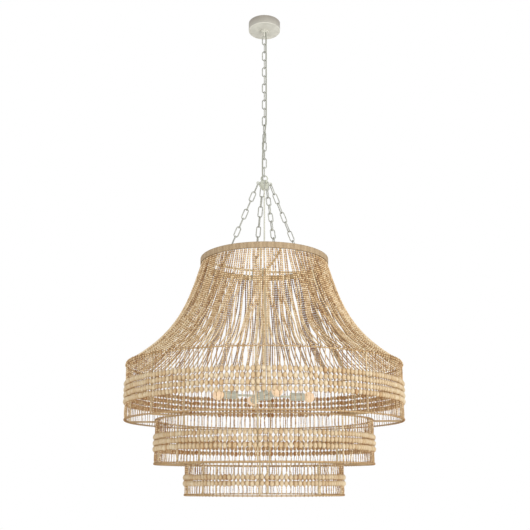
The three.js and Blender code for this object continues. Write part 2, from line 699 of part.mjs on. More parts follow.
// Stem: a tube with a collar under the boss, held by a hex nut on top, down into the cluster's neck
{
  const tube = stemDiameter / 2;
  const bore = stemBore / 2;
  const collarTop = bossBottom - gap;
  const stemTop = bossTop + gap + stemNutHeight + gap;
  const foot = clusterTop - clusterNeckHeight;
  const profile = [[bore, stemTop], [tube, stemTop], [tube, collarTop], [stemCollarDiameter / 2, collarTop],
    [stemCollarDiameter / 2, collarTop - stemCollarHeight], [tube, collarTop - stemCollarHeight - tube / 2],
    [tube, foot + gap], [bore, foot + gap]];
  addPiece('stem', revolved(profile, boreSides, 0), framePaint);
  const nut = hexagon(stemNutAcrossFlats);
  roundHole(nut, stemHole / 2);
  addPiece('stem_nut', plate(nut, stemNutHeight, stemTop - gap, 6), zincPlate);
}

// Lower supply cord: straight on the axis, from the hub through the stem
{
  const cordFoot = clusterTop - clusterNeckHeight + gap;
  addPiece('supply_cord_lower', rod(new THREE.Vector3(0, 0, cordFoot), new THREE.Vector3(0, 0, hubBottom
    + cordDiameter - gap), cordDiameter, cordSides), cordSheath);
}

// Lamp cluster: a round body with a neck for the stem and four arms
const lampArms = Array.from({ length: armCount }, (_, k) => armYawOf(k));
{
  const body = clusterDiameter / 2;
  const neck = clusterNeckDiameter / 2;
  const top = lampLevel + clusterHeight / 2;
  const bottom = lampLevel - clusterHeight / 2;
  const profile = [[0, clusterTop], [neck, clusterTop], [neck, top], [body - clusterRound, top],
    [body, top - clusterRound], [body, bottom + clusterRound], [body - clusterRound, bottom], [0, bottom]];
  const pieces = [turned(profile)];
  for (const yaw of lampArms) {
    const [from, to] = [body / 2, lampArmReach].map((reach) => polar(reach, yaw, lampLevel));
    pieces.push(rod(from, to, lampArmRod, cordSides));
  }
  const bore = rod(new THREE.Vector3(0, 0, clusterTop - clusterNeckHeight), new THREE.Vector3(0, 0, clusterTop
    + cutOverrun), stemHole, boreSides);
  addPiece('lamp_cluster', cut(welded(...pieces), bore), chainPaint);
}

// Sockets and bulbs, each along a lamp arm
lampArms.forEach((yaw, n) => {
  const lamp = new THREE.Group();
  lamp.rotation.z = yaw;
  lamp.position.z = lampLevel;
  part.add(lamp);
  const outer = socketDiameter / 2;
  const bore = socketBore / 2;
  const back = lampArmReach + gap;
  const mouth = back + socketLength;
  const capFoot = mouth - bulbCapLength;
  const alongArm = (geometry) => geometry.rotateY(Math.PI / 2);
  const socket = [[0, back], [outer - socketRound, back], [outer, back + socketRound], [outer, mouth],
    [bore, mouth], [bore, capFoot - gap], [0, capFoot - gap]];
  addPiece(`lamp_socket_${n + 1}`, alongArm(turned(socket, lampSides)), chainPaint, lamp);
  const cap = bulbCapDiameter / 2;
  const neck = bulbNeckDiameter / 2;
  const globe = bulbDiameter / 2;
  const centre = mouth + bulbReach - globe;
  const neckAngle = Math.asin(neck / globe);
  const bulb = [[0, capFoot], [cap, capFoot + gap], [cap, mouth - gap], [neck, mouth + gap]];
  for (let k = 0; k <= globeSteps; k += 1) {
    const angle = THREE.MathUtils.lerp(Math.PI - neckAngle, 0, k / globeSteps);
    bulb.push([k < globeSteps ? globe * Math.sin(angle) : 0, centre + globe * Math.cos(angle)]);
  }
  addPiece(`bulb_${n + 1}`, alongArm(turned(bulb, lampSides)), warmGlass, lamp);
});

export default part;
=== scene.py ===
# Beaded chandelier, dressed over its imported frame. The dictionaries hold millimetres and degrees.
import bpy
import numpy as np
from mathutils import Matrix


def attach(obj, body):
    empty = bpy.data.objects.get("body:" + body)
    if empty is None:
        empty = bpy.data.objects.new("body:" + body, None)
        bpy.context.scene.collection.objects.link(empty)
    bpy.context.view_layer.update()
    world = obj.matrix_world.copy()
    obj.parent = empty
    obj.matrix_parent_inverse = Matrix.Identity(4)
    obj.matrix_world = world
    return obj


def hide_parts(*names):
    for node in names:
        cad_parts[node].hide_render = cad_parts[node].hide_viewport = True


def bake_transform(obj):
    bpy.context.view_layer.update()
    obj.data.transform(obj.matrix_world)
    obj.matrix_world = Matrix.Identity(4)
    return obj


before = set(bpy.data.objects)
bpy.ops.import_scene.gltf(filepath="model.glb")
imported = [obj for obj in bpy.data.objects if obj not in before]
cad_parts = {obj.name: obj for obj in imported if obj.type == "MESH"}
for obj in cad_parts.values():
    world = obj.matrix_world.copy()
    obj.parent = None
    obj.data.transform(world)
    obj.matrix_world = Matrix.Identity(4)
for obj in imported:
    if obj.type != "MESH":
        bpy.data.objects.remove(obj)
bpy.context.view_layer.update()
scene = bpy.context.scene
metre = 1000  # millimetres
quarterTurn = np.pi / 2
xAxis, yAxis, zAxis = np.eye(3)
nearAxis = 0.05  # the radius at which an open turned profile starts and ends
bodySides, rodSides, thinSides = 48, 12, 8  # corners round a turned body, a rod and a thin rod
print("frame loaded")

# Camera: below the lamp's middle, looking up at it from the front
view = {"lens": 54.0, "right": 2.5, "distance": 2857, "eye": -1802.5, "pitch": 15.37,
        "near": 50, "far": 60000}
lens = bpy.data.cameras.new("camera")
lens.lens = view["lens"]
lens.clip_start, lens.clip_end = view["near"] / metre, view["far"] / metre
camera = bpy.data.objects.new("camera", lens)
camera.location = (view["right"] / metre, -view["distance"] / metre, view["eye"] / metre)
camera.rotation_euler = (np.radians(90 + view["pitch"]), 0, 0)
scene.collection.objects.link(camera)
scene.camera = camera


# Surfaces

# A share from 0 to 1 that starts and stops gently: s^2 (3 - 2s)
def smooth(share):
    share = np.clip(share, 0, 1)
    return share * share * (3 - 2 * share)


# A point at a distance from the axis, at a yaw and a height. Works on whole arrays.
def polar(radius, yaw, height):
    radius, yaw, height = np.broadcast_arrays(radius, yaw, height)
    return np.stack([radius * np.cos(yaw), radius * np.sin(yaw), height], -1)


# Quads of tubes that are laid out as tube, step along it, corner round it. An open tube gets flat ends,
# each a fan of quads from its corner 0.
def gridFaces(count, steps, sides, closed):
    grid = np.arange(count * steps * sides).reshape(count, steps, sides)
    here = grid if closed else grid[:, :-1]
    there = np.roll(grid, -1, 1) if closed else grid[:, 1:]
    walls = np.stack([here, np.roll(here, -1, 2), np.roll(there, -1, 2), there], -1).reshape(-1, 4)
    if closed:
        return walls
    k = np.arange(1, sides - 2, 2)
    fan = np.stack([0 * k, k, k + 1, k + 2], -1)
    far = grid[:, -1][:, fan].reshape(-1, 4)
    near = grid[:, 0][:, fan[:, ::-1]].reshape(-1, 4)
    return np.concatenate([walls, near, far])


# A round section carried along paths: point = path + radius (cos a * across + sin a * over), where across
# is square to the path and to the reference direction, and over is square to the path and to across
def sweep(paths, radius, sides, reference, closed=False):
    paths = np.asarray(paths, float)
    paths = paths[None] if paths.ndim == 2 else paths
    count, steps = paths.shape[:2]
    along = np.roll(paths, -1, 1) - np.roll(paths, 1, 1) if closed else np.gradient(paths, axis=1)
    along /= np.linalg.norm(along, axis=2, keepdims=True)
    across = np.cross(along, np.broadcast_to(reference, paths.shape))
    across /= np.linalg.norm(across, axis=2, keepdims=True)
    over = np.cross(along, across)
    angle = 2 * np.pi * np.arange(sides) / sides
    ring = np.cos(angle)[:, None] * across[:, :, None] + np.sin(angle)[:, None] * over[:, :, None]
    points = paths[:, :, None] + np.broadcast_to(radius, (count, steps))[..., None, None] * ring
    return points.reshape(-1, 3), gridFaces(count, steps, sides, closed)


# A profile of [radius, height] turned about Z. It runs up the outside, and an open one starts and ends
# close to the axis.
def turned(profile, sides, closed=False):
    profile = np.array(profile, float)
    yaw = 2 * np.pi * np.arange(sides) / sides
    points = polar(profile[:, :1], yaw, profile[:, 1:])
    return points.reshape(-1, 3), gridFaces(1, len(profile), sides, closed)


# A profile whose corners are rounded. A corner's curve starts size before it, or 0.45 of a short side, and
# ends as far after it: corner + (1 - u)^2 * before + u^2 * after. There is one size, or one for each corner.
def rounded(profile, size, steps=3, closed=False):
    profile = np.array(profile, float)
    size = np.reshape(size, (-1, 1))
    reaches = []
    for side in (np.roll(profile, 1, 0) - profile, np.roll(profile, -1, 0) - profile):
        length = np.linalg.norm(side, axis=1, keepdims=True)
        reaches.append(side / np.maximum(length, 1e-9) * np.minimum(size, 0.45 * length))
    before, after = reaches
    u = np.linspace(0, 1, steps)[None, :, None]
    curve = profile[:, None] + (1 - u) ** 2 * before[:, None] + u ** 2 * after[:, None]
    if closed:
        return curve.reshape(-1, 2)
    return np.concatenate([profile[:1], curve[1:-1].reshape(-1, 2), profile[-1:]])


# A turned ring whose outer face waves: its radius falls by depth (1 - cos(count * yaw + start)) / 2
def ribbed(points, inner, outer, count, depth, start=0.0):
    yaw, radius = np.arctan2(points[:, 1], points[:, 0]), np.hypot(points[:, 0], points[:, 1])
    onFace = radius > (inner + outer) / 2
    keep = 1 - depth * (1 - np.cos(count * yaw + start)) / 2 / outer * onFace
    return points * np.stack([keep, keep, np.ones(len(points))], -1)


# The outline of a long link in the XZ plane: two half rounds of radius bend, their centres at +-straight
def linkOutline(bend, straight, steps=9):
    angle = np.pi * np.arange(steps) / (steps - 1)
    end = np.stack([bend * np.cos(angle), 0 * angle, straight + bend * np.sin(angle)], -1)
    return np.concatenate([end, -end])


# A circle in the XZ plane: (radius cos a, 0, radius sin a)
def circle(radius, steps):
    angle = 2 * np.pi * np.arange(steps) / steps
    return np.stack([radius * np.cos(angle), 0 * angle, radius * np.sin(angle)], -1)


# An upright ring of wire, such as an eye: a circle round a centre, swept
def wireEye(radius, wire, centre, steps, sides):
    return sweep(circle(radius, steps) + centre, wire / 2, sides, yAxis, closed=True)


# Points turned about Z by a yaw: x cos - y sin, x sin + y cos
def turnZ(points, yaw):
    c, s = np.cos(yaw), np.sin(yaw)
    return points @ np.array([[c, s, 0], [-s, c, 0], [0, 0, 1]])


# Several surfaces as one: the corner numbers of each go on from those before it
def join(*surfaces):
    starts = np.cumsum([0] + [len(points) for points, faces in surfaces])
    points = np.concatenate([points for points, faces in surfaces])
    return points, np.concatenate([s[1] + start for s, start in zip(surfaces, starts)])


# A surface shifted by an offset, then turned about Z
def moved(surface, yaw=0.0, offset=(0, 0, 0)):
    return turnZ(surface[0] + np.array(offset), yaw), surface[1]


# Puts a surface in the scene as one piece, in metres, on a body of the frame. Edges sharper than the crease
# angle stay hard, and tone goes to the material as an attribute.
def addPiece(name, surface, finish, body, replaced=(), tone=None, crease=35):
    points, faces = surface
    mesh = bpy.data.meshes.new(name)
    mesh.vertices.add(len(points))
    mesh.vertices.foreach_set("co", (points / metre).ravel())
    mesh.loops.add(faces.size)
    mesh.loops.foreach_set("vertex_index", faces.ravel().astype(np.int32))
    mesh.polygons.add(len(faces))
    mesh.polygons.foreach_set("loop_start", np.arange(0, faces.size, 4, dtype=np.int32))
    mesh.polygons.foreach_set("use_smooth", np.ones(len(faces), bool))
    mesh.update(calc_edges=True)
    if crease:
        mesh.set_sharp_from_angle(angle=np.radians(crease))
    if tone is not None:
        layer = mesh.attributes.new("tone", "FLOAT", "POINT")
        layer.data.foreach_set("value", np.ravel(tone).astype(np.float32))
    mesh.materials.append(finish)
    piece = bpy.data.objects.new(name, mesh)
    scene.collection.objects.link(piece)
    if body:
        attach(piece, body)
    if replaced:
        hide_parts(*replaced)
    return piece


# Materials

# An sRGB hex colour as linear light: c / 12.92 where it is dark, ((c + 0.055) / 1.055)^2.4 above that
def linear(code):
    channel = np.array([int(code[k:k + 2], 16) for k in (1, 3, 5)]) / 255
    value = np.where(channel <= 0.04045, channel / 12.92, ((channel + 0.055) / 1.055) ** 2.4)
    return (*value.tolist(), 1.0)


# Adds a node. Keys of inputs are socket names or numbers, and a value that is a socket is linked.
def addNode(tree, kind, inputs, **settings):
    node = tree.nodes.new(kind)
    for name, value in settings.items():
        setattr(node, name, value)
    for key, value in inputs.items():
        if isinstance(value, bpy.types.NodeSocket):
            tree.links.new(value, node.inputs[key])
        else:
            node.inputs[key].default_value = value
    return node


# A new material, its node tree, and the object's own coordinates in it
def newFinish(name):
    finish = bpy.data.materials.new(name)
    finish.use_nodes = True
    tree = finish.node_tree
    tree.nodes.clear()
    return finish, tree, addNode(tree, "ShaderNodeTexCoord", {}).outputs["Object"]


# Brushed or sprayed paint on steel: clouds of tone, a stipple drawn a few times as coarse as the real one so
# that it shows, and duller patches. Where the tone attribute is 1, the colour below is painted shade instead.
def paintedSteel(name, base, worn, cloud, grain, roughness, depth, below="#7F786E"):
    finish, tree, place = newFinish(name)
    clouds = addNode(tree, "ShaderNodeTexNoise", {"Vector": place, "Scale": metre / cloud, "Detail": 3.0})
    stipple = addNode(tree, "ShaderNodeTexNoise", {"Vector": place, "Scale": metre / grain, "Detail": 2.0})
    patch = addNode(tree, "ShaderNodeMapRange", {0: clouds.outputs[0], 1: 0.35, 2: 0.7, 3: 0.0, 4: 1.0})
    top = addNode(tree, "ShaderNodeMix", {0: patch.outputs[0], 6: linear(base), 7: linear(worn)},
                  data_type="RGBA")
    # Painted shade: the tone attribute swaps the paint for the darker colour below
    paintedShadeMask = addNode(tree, "ShaderNodeAttribute", {}, attribute_name="tone")
    colour = addNode(tree, "ShaderNodeMix", {0: paintedShadeMask.outputs["Fac"], 6: top.outputs[2], 7: linear(below)},
                     data_type="RGBA")
    dull = addNode(tree, "ShaderNodeMapRange", {
        0: stipple.outputs[0], 1: 0.3, 2: 0.7, 3: roughness - 0.08, 4: roughness + 0.1})
    bump = addNode(tree, "ShaderNodeBump", {
        "Height": stipple.outputs[0], "Strength": 0.25, "Distance": depth / metre})
    shader = addNode(tree, "ShaderNodeBsdfPrincipled", {
        "Base Color": colour.outputs[2], "Roughness": dull.outputs[0], "Normal": bump.outputs[0]})
    addNode(tree, "ShaderNodeOutputMaterial", {"Surface": shader.outputs[0]})
    return finish


# Braided cotton sleeve on a cord: a cloudy weave, drawn about three times as coarse as its threads of half a
# millimetre so that it shows
def braidedSleeve(name, shade, face, thread, depth):
    finish, tree, place = newFinish(name)
    weave = addNode(tree, "ShaderNodeTexNoise", {"Vector": place, "Scale": metre / thread, "Detail": 2.0})
    colour = addNode(tree, "ShaderNodeMix", {0: weave.outputs[0], 6: linear(shade), 7: linear(face)},
                     data_type="RGBA")
    bump = addNode(tree, "ShaderNodeBump", {
        "Height": weave.outputs[0], "Strength": 0.2, "Distance": depth / metre})
    shader = addNode(tree, "ShaderNodeBsdfPrincipled", {
        "Base Color": colour.outputs[2], "Roughness": 0.7, "Normal": bump.outputs[0]})
    addNode(tree, "ShaderNodeOutputMaterial", {"Surface": shader.outputs[0]})
    return finish


# Turned wood or twine. The tone attribute runs from deep at 0 by way of mid to pale at 1, and differs from
# bead to bead. Deep streaks of grain, four times as long as they are wide, run down each one.
def turnedWood(name, pale, mid, deep, grain, roughness, depth=0.3):
    finish, tree, place = newFinish(name)
    tone = addNode(tree, "ShaderNodeAttribute", {}, attribute_name="tone")
    stretch = addNode(tree, "ShaderNodeMapping", {"Vector": place, "Scale": (1.0, 1.0, 0.25)})
    fibre = addNode(tree, "ShaderNodeTexNoise", {
        "Vector": stretch.outputs[0], "Scale": metre / grain, "Detail": 2.0})
    lower = addNode(tree, "ShaderNodeMapRange", {0: tone.outputs["Fac"], 1: 0.0, 2: 0.5, 3: 0.0, 4: 1.0})
    upper = addNode(tree, "ShaderNodeMapRange", {0: tone.outputs["Fac"], 1: 0.5, 2: 1.0, 3: 0.0, 4: 1.0})
    dark = addNode(tree, "ShaderNodeMix", {0: lower.outputs[0], 6: linear(deep), 7: linear(mid)},
                   data_type="RGBA")
    light = addNode(tree, "ShaderNodeMix", {0: upper.outputs[0], 6: dark.outputs[2], 7: linear(pale)},
                    data_type="RGBA")
    streak = addNode(tree, "ShaderNodeMapRange", {0: fibre.outputs[0], 1: 0.5, 2: 0.8, 3: 0.0, 4: 0.6})
    colour = addNode(tree, "ShaderNodeMix", {0: streak.outputs[0], 6: light.outputs[2], 7: linear(deep)},
                     data_type="RGBA")
    dull = addNode(tree, "ShaderNodeMapRange", {
        0: fibre.outputs[0], 1: 0.3, 2: 0.7, 3: roughness - 0.06, 4: roughness + 0.1})
    bump = addNode(tree, "ShaderNodeBump", {
        "Height": fibre.outputs[0], "Strength": 0.3, "Distance": depth / metre})
    shader = addNode(tree, "ShaderNodeBsdfPrincipled", {
        "Base Color": colour.outputs[2], "Roughness": dull.outputs[0], "Normal": bump.outputs[0]})
    addNode(tree, "ShaderNodeOutputMaterial", {"Surface": shader.outputs[0]})
    return finish


# Sprayed off-white paint on the pressed canopy: smooth, almost even
canopyPaint = paintedSteel("sprayedOffWhiteSteel", "#D1D0C6", "#BFBEB4", cloud=24, grain=1.6,
                           roughness=0.5, depth=0.15)
# Chalk paint brushed on the chains: greyer where the brush missed, dull
chainPaint = paintedSteel("brushedChalkPaintOnChain", "#B0B1A8", "#8B8C84", cloud=9, grain=1.2,
                          roughness=0.55, depth=0.2)
# Sand and straw paint on the frame's wire: it hides the frame among the beads
framePaint = paintedSteel("sandPaintOnWire", "#BBA078", "#A0845A", cloud=14, grain=1.4,
                          roughness=0.6, depth=0.2)
ribPaint = paintedSteel("strawPaintOnRibs", "#D8C8A8", "#C4B391", cloud=14, grain=1.4,
                        roughness=0.6, depth=0.2)
# Grey-green paint on the hub and lamp cluster: a soft shine on turned shapes
lampPaint = paintedSteel("greyGreenLampPaint", "#C2C4B6", "#B4B6A8", cloud=20, grain=1.2,
                         roughness=0.5, depth=0.12)
# Grey cotton braided on the upper cord, paler on the lower one: dull, a little mottled
upperSleeve = braidedSleeve("greyCottonSleeve", "#85867B", "#9B9C90", thread=10 / 7, depth=0.2)
lowerSleeve = braidedSleeve("paleCottonSleeve", "#B9B9AC", "#CBCBBF", thread=10 / 7, depth=0.2)
# Wood turned to beads: chalky and pale, brown in the grain; their tone adds painted shade and highlight
smallWood = turnedWood("smallTurnedWoodBeads", "#EDDDBC", "#D0B081", "#835C33", grain=1.6, roughness=0.62)
largeWood = turnedWood("largeOliveWoodBeads", "#D3C5A8", "#BEA57F", "#A0703B", grain=2.6, roughness=0.6)
# Jute twine wound on the hoop: brown and dull, its turns side by side
woundTwine = turnedWood("twineWoundOnHoop", "#BAA586", "#A08A6C", "#7C674B", grain=1.4, roughness=0.75)
print("materials made")

# Canopy: a pressed cup with a bored floor. Its wall carries painted shade up to the rim.
canopy = {"radius": 63.5, "depth": 34.5, "wall": 1.2, "corner": 3.0, "innerCorner": 2.0, "rimEdge": 0.3,
          "bore": 14.07, "boreEdge": 0.2, "sides": 96, "wallShade": 0.9, "wallShadeFrom": 0.4}
cupInside, cupFloor = canopy["radius"] - canopy["wall"], -canopy["depth"]
cup = [[canopy["bore"], cupFloor], [canopy["radius"], cupFloor], [canopy["radius"], 0], [cupInside, 0],
       [cupInside, cupFloor + canopy["wall"]], [canopy["bore"], cupFloor + canopy["wall"]]]
cupEdges = [canopy["boreEdge"], canopy["corner"], canopy["rimEdge"], canopy["rimEdge"],
            canopy["innerCorner"], canopy["boreEdge"]]
cupPoints, cupFaces = turned(rounded(cup, cupEdges, steps=7, closed=True), canopy["sides"], closed=True)
# Painted shade on the wall: none on the floor, rising over the lower corner, full above it
onWall = np.hypot(cupPoints[:, 0], cupPoints[:, 1]) > canopy["radius"] - canopy["wall"] / 2
overCorner = (cupPoints[:, 2] - cupFloor) / canopy["corner"] - canopy["wallShadeFrom"]
paintedWallShade = canopy["wallShade"] * onWall * np.clip(overCorner, 0, 1)
addPiece("canopyCup", (cupPoints, cupFaces), canopyPaint, "canopy", ["canopy"], paintedWallShade)

# Ring nut under the canopy, knurled all round
ringNut = {"inner": 14.07, "outer": 17.67, "top": -34.8, "height": 6.0, "edge": 0.9,
           "ribs": 48, "ribDepth": 0.35, "stepsPerRib": 4}
nutFoot = ringNut["top"] - ringNut["height"]
nutBand = [[ringNut["inner"], nutFoot], [ringNut["outer"], nutFoot], [ringNut["outer"], ringNut["top"]],
           [ringNut["inner"], ringNut["top"]]]
nutPoints, nutFaces = turned(rounded(nutBand, ringNut["edge"], steps=4, closed=True),
                             ringNut["stepsPerRib"] * ringNut["ribs"], closed=True)
nutPoints = ribbed(nutPoints, ringNut["inner"], ringNut["outer"], ringNut["ribs"], ringNut["ribDepth"], np.pi)
addPiece("ringNut", (nutPoints, nutFaces), canopyPaint, "collar_nut", ["collar_nut"])

# Collar: a bored body with a long eye below it. The eye's lowest inner point lies a little under the contact
# with the chain, and rise is how far the middle of its upper round stands over that point.
collar = {"radius": 13.5, "top": -24.0, "bottom": -43.5, "bore": 5.3, "plug": 7.0, "edge": 0.6,
          "eyeWire": 4.5, "eyeWidth": 23.0, "rise": 14.8, "contact": -58.6, "play": 0.15}
plugTop = collar["bottom"] + collar["plug"]
collarBody = [[nearAxis, collar["bottom"]], [collar["radius"], collar["bottom"]],
              [collar["radius"], collar["top"]], [collar["bore"], collar["top"]],
              [collar["bore"], plugTop], [nearAxis, plugTop]]
eyeBend = (collar["eyeWidth"] - collar["eyeWire"]) / 2
eyeInner = collar["rise"] + collar["eyeWidth"] / 2 - collar["eyeWire"]
eyeMiddle = collar["contact"] - collar["play"] + eyeInner / 2
eye = linkOutline(eyeBend, (eyeInner + collar["eyeWire"]) / 2 - eyeBend, steps=13) + [0, 0, eyeMiddle]
collarSurface = join(turned(rounded(collarBody, collar["edge"], steps=4), bodySides),
                     sweep(turnZ(eye, quarterTurn), collar["eyeWire"] / 2, rodSides, xAxis, closed=True))
addPiece("collarLoop", collarSurface, canopyPaint, "ceiling", ["collar_loop"])
print("canopy made")

# Main chain: oval links that turn a quarter each, and one more quarter between twistFrom and twistTo
chain = {"pitch": 35.6, "wire": 4.2, "width": 20.0, "count": 17, "top": -58.6, "play": 0.3,
         "twistFrom": 10, "twistTo": 16}


# How far the chain has twisted at a link, which may be a fraction: a quarter turn times a smooth share
def twistAt(link):
    return smooth((link - chain["twistFrom"]) / (chain["twistTo"] - chain["twistFrom"])) * quarterTurn


# The height of a link's middle: half a pitch below its top
def linkMiddle(i):
    return chain["top"] - (i - 0.5) * chain["pitch"]


# One welded oval link that is a pitch, a play and a wire long
def oneLink(pitch, width, wire, sides):
    bend = (width - wire) / 2
    straight = (pitch + chain["play"] + wire) / 2 - bend
    return sweep(linkOutline(bend, straight), wire / 2, sides, yAxis, closed=True)


for i in range(1, chain["count"] + 1):
    link = oneLink(chain["pitch"], chain["width"], chain["wire"], rodSides)
    link = moved(link, (i + 1) * quarterTurn - twistAt(i), (0, 0, linkMiddle(i)))
    addPiece(f"chainLink_{i:02d}", link, chainPaint, f"link_{i:02d}",
             [f"chain_link_{i:02d}"], crease=0)
print("chain made")

# Supply cord: one length from the collar to the hub, wound round the chain as the chain twists. Near its
# ends, where the chain swings most, two lengths each span a hinge and stay on no body. Between them each link
# carries its own length from hinge to hinge. Neighbours lap there, their sides half a side's turn apart.
flex = {"diameter": 5.5, "collarOffset": 9.0, "chainOffset": 10.0, "hubOffset": 8.6, "yaw": -45.0,
        "leaveLinks": 6, "top": -19.0, "bottom": -681.1, "collarHold": -50.0, "hubHold": -676.0,
        "step": 4.45, "lap": 0.6, "sides": 12}


# The cord's route: an offset that grows from the collar's to the chain's and narrows to the hub's, at a yaw
# that goes back as the chain twists
def flexPath(height):
    link = (chain["top"] - height) / chain["pitch"] + 0.5
    leave = smooth((collar["bottom"] - height) / (flex["leaveLinks"] * chain["pitch"]))
    arrive = smooth((chain["pitch"] - (height - flex["bottom"])) / chain["pitch"])
    outward, inward = flex["chainOffset"] - flex["collarOffset"], flex["hubOffset"] - flex["chainOffset"]
    offset = flex["collarOffset"] + outward * leave + inward * arrive
    return polar(offset, np.radians(flex["yaw"]) - twistAt(link), height)


last = chain["count"]
hinges = chain["top"] - chain["wire"] / 2 - np.arange(last + 1) * chain["pitch"]
ends = [flex["top"], linkMiddle(1), *hinges[2:last - 1], linkMiddle(last), flex["bottom"]]
bends = {1: ("ceiling", "link_01", flex["collarHold"], linkMiddle(1)),
         2: ("link_01", "link_02", linkMiddle(1), linkMiddle(2)),
         last - 1: (f"link_{last - 1:02d}", f"link_{last:02d}", linkMiddle(last - 1), linkMiddle(last)),
         last: (f"link_{last:02d}", "fixture", linkMiddle(last), flex["hubHold"])}
for i in range(1, len(ends)):
    start, end = ends[i - 1], ends[i]
    start += flex["lap"] if start in hinges else 0
    end -= flex["lap"] if end in hinges else 0
    path = flexPath(np.linspace(start, end, int((start - end) / flex["step"]) + 2))
    turn = (i % 2) * np.pi / flex["sides"]
    surface = sweep(path, flex["diameter"] / 2, flex["sides"], [np.cos(turn), np.sin(turn), 0])
    carrier = None if i in bends else f"link_{i:02d}"
    cord = addPiece(f"supplyCord_{i:02d}", surface, upperSleeve, carrier, ["supply_cord_upper"])
    if i in bends:
        above, below, bendFrom, bendTo = bends[i]
        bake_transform(cord)
print("cord made")

# Hub: a turned body with a ring for the chain and four eyes. Its profile goes by shares of its height.
hub = {"top": -681.4, "height": 38.0, "pole": 0.02, "flat": 9.0, "waist": 15.0, "body": 19.5, "edge": 2.6,
       "ringCentre": -673.65, "ring": 12.25, "ringWire": 4.5,
       "firstEye": -75.0, "eye": 5.5, "eyeWire": 4.0, "eyeOut": 24.0, "eyeDrop": 13.0}
hubProfile = np.array([[hub["pole"], 1], [hub["flat"], 1], [hub["waist"], 0.8], [hub["body"], 0.6],
                       [hub["body"], 0.25], [hub["waist"], 0.12], [hub["flat"], 0], [hub["pole"], 0]])
hubProfile[:, 1] = hub["top"] - hub["height"] * hubProfile[:, 1]
armYaws = np.radians(hub["firstEye"] + 90 * np.arange(4))
hubEye = np.array([hub["eyeOut"], 0, hub["top"] - hub["eyeDrop"]])
hubRing = wireEye(hub["ring"], hub["ringWire"], [0, 0, hub["ringCentre"]], steps=32, sides=rodSides)
parts = [turned(rounded(hubProfile, hub["edge"], steps=5), bodySides), hubRing]
eye = wireEye(hub["eye"], hub["eyeWire"], hubEye, steps=20, sides=thinSides)
parts += [moved(eye, yaw) for yaw in armYaws]
addPiece("hub", join(*parts), lampPaint, "fixture", ["hub"])

# Spider: a bored boss, four arms that rise to the hoop, and an eye sunk a little into each arm
spider = {"boss": 15.0, "bossCentre": -1042.0, "bossHeight": 11.0, "bore": 6.3, "edge": 1.2, "rod": 8.0,
          "bendOut": 161.14, "rimOut": 227.34, "rim": -1014.0, "eyeShare": 0.57, "eye": 4.5, "eyeWire": 4.0,
          "sunk": 0.8}
low, high = spider["bossCentre"] - spider["bossHeight"] / 2, spider["bossCentre"] + spider["bossHeight"] / 2
boss = [[spider["bore"], low], [spider["boss"], low], [spider["boss"], high], [spider["bore"], high]]
armCorners = np.array([[spider["boss"] - spider["sunk"], 0, spider["bossCentre"]],
                       [spider["bendOut"], 0, spider["bossCentre"]],
                       [spider["rimOut"], 0, spider["rim"]]])


# An arm's curve: (1-u)^2 start + 2u(1-u) bend + u^2 end
def armAt(u):
    u = np.asarray(u, float)[..., None]
    return (1 - u) ** 2 * armCorners[0] + 2 * u * (1 - u) * armCorners[1] + u ** 2 * armCorners[2]


armEye = armAt(spider["eyeShare"]) + [0, 0, spider["rod"] / 2 + spider["eye"] - spider["sunk"]]
parts = [turned(rounded(boss, spider["edge"], steps=4, closed=True), bodySides, closed=True)]
for yaw in armYaws:
    parts.append(moved(sweep(armAt(np.linspace(0, 1, 17)), spider["rod"] / 2, rodSides, yAxis), yaw))
    parts.append(moved(wireEye(spider["eye"], spider["eyeWire"], armEye, steps=20, sides=thinSides), yaw))
addPiece("spider", join(*parts), ribPaint, "fixture", ["spider"])

# Leg chains: nine links from a hub eye to an arm eye, turned a quarter each. They hang a little inside the
# eyes, and a link is somewhat shorter than its share of the way.
leg = {"links": 9, "wire": 4.2, "width": 20.0, "inHub": 2.8, "inArm": 1.8, "shorter": 1.1}
along = (armEye - hubEye) / np.linalg.norm(armEye - hubEye)
start, end = hubEye + leg["inHub"] * along, armEye - leg["inArm"] * along
legPitch = np.linalg.norm(end - start) / leg["links"]
tilt = np.array([[-along[2], 0, along[0]], [0, 1, 0], [-along[0], 0, -along[2]]])
for n, yaw in enumerate(armYaws):
    links = []
    for i in range(leg["links"]):
        link = oneLink(legPitch - leg["shorter"], leg["width"], leg["wire"], thinSides)
        points, faces = moved(link, (i + 1) * quarterTurn)
        links.append((turnZ(points @ tilt + start + (i + 0.5) * legPitch * along, yaw), faces))
    addPiece(f"legChain_{n + 1}", join(*links), chainPaint, "fixture",
             [f"leg_chain_{n + 1}"], crease=0)
print("hub, spider and leg chains made")

# Skirt: strands of small beads on a flared curve, gathered in loose bunches
skirt = {"top": -1019.3, "height": 377.4, "topRadius": 235.2, "spread": 255.4, "straight": 0.45, "power": 3.5,
         "strands": 192, "pieces": 4, "bead": 6.0, "beadLength": 8.9, "end": 0.99, "seed": 11,
         "knots": 5, "knotReach": 0.85, "wander": 15.0, "wanderShare": 0.9, "wanderPower": 1.2,
         "pairing": 0.42, "easing": 80, "apart": 1.01,
         "tone": 0.64, "beadSpread": 0.18, "strandSpread": 0.14, "paler": 0.16}


# The skirt's curve: radius grows with the straight share of the height and the rest of its power. A point may
# lie inward of the outer face, square to it. Returns the radius and the height.
def skirtPoint(share, inward):
    flare = skirt["straight"] * share + (1 - skirt["straight"]) * share ** skirt["power"]
    rise = skirt["straight"] + (1 - skirt["straight"]) * skirt["power"] * share ** (skirt["power"] - 1)
    slope = np.arctan(skirt["spread"] / skirt["height"] * rise)
    radius = skirt["topRadius"] + skirt["spread"] * flare - inward * np.cos(slope)
    return radius, skirt["top"] - skirt["height"] * share - inward * np.sin(slope)


